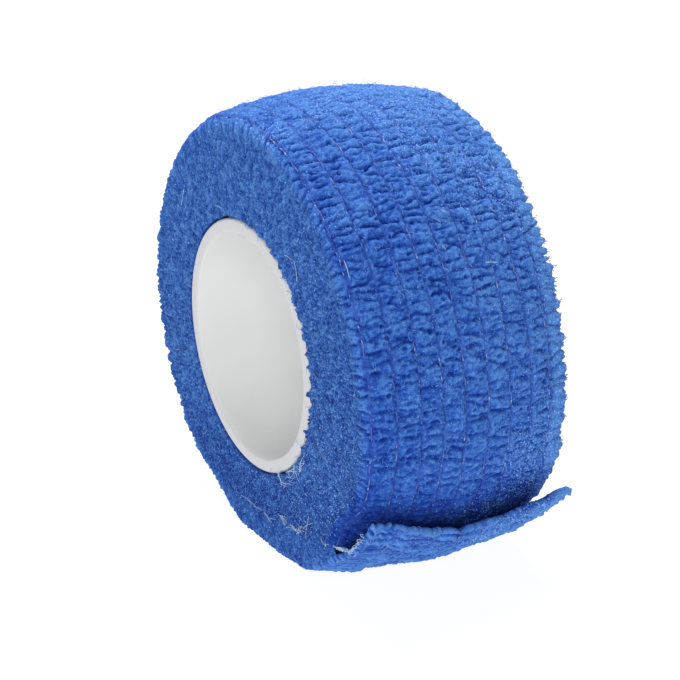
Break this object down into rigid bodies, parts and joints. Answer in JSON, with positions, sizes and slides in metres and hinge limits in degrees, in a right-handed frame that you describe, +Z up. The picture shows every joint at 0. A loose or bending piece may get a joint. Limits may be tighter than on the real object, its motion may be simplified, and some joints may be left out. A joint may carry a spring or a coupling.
{
  "type": "cohesive bandage roll",
  "caption": "Roll of blue crepe cohesive bandage on a white core tube, standing on its outer face, with the loose end of the strip curling up at the front.",
  "frame": {"origin": "on the roll's flat resting spot, straight under the core tube's axis, at the middle of the strip's width", "axes": "+X along the core tube's axis, +Z up; the loose end is on the -Y side"},
  "size_m": [0.025, 0.055, 0.0518],
  "materials": {
    "bandage": "puckered crepe with lengthwise stitch threads, matt and slightly fleecy",
    "core": "smooth white with a soft sheen"
  },
  "bodies": {
    "root": {"bandage_strip": "bandage", "core_tube": "core"}
  },
  "joints": []
}
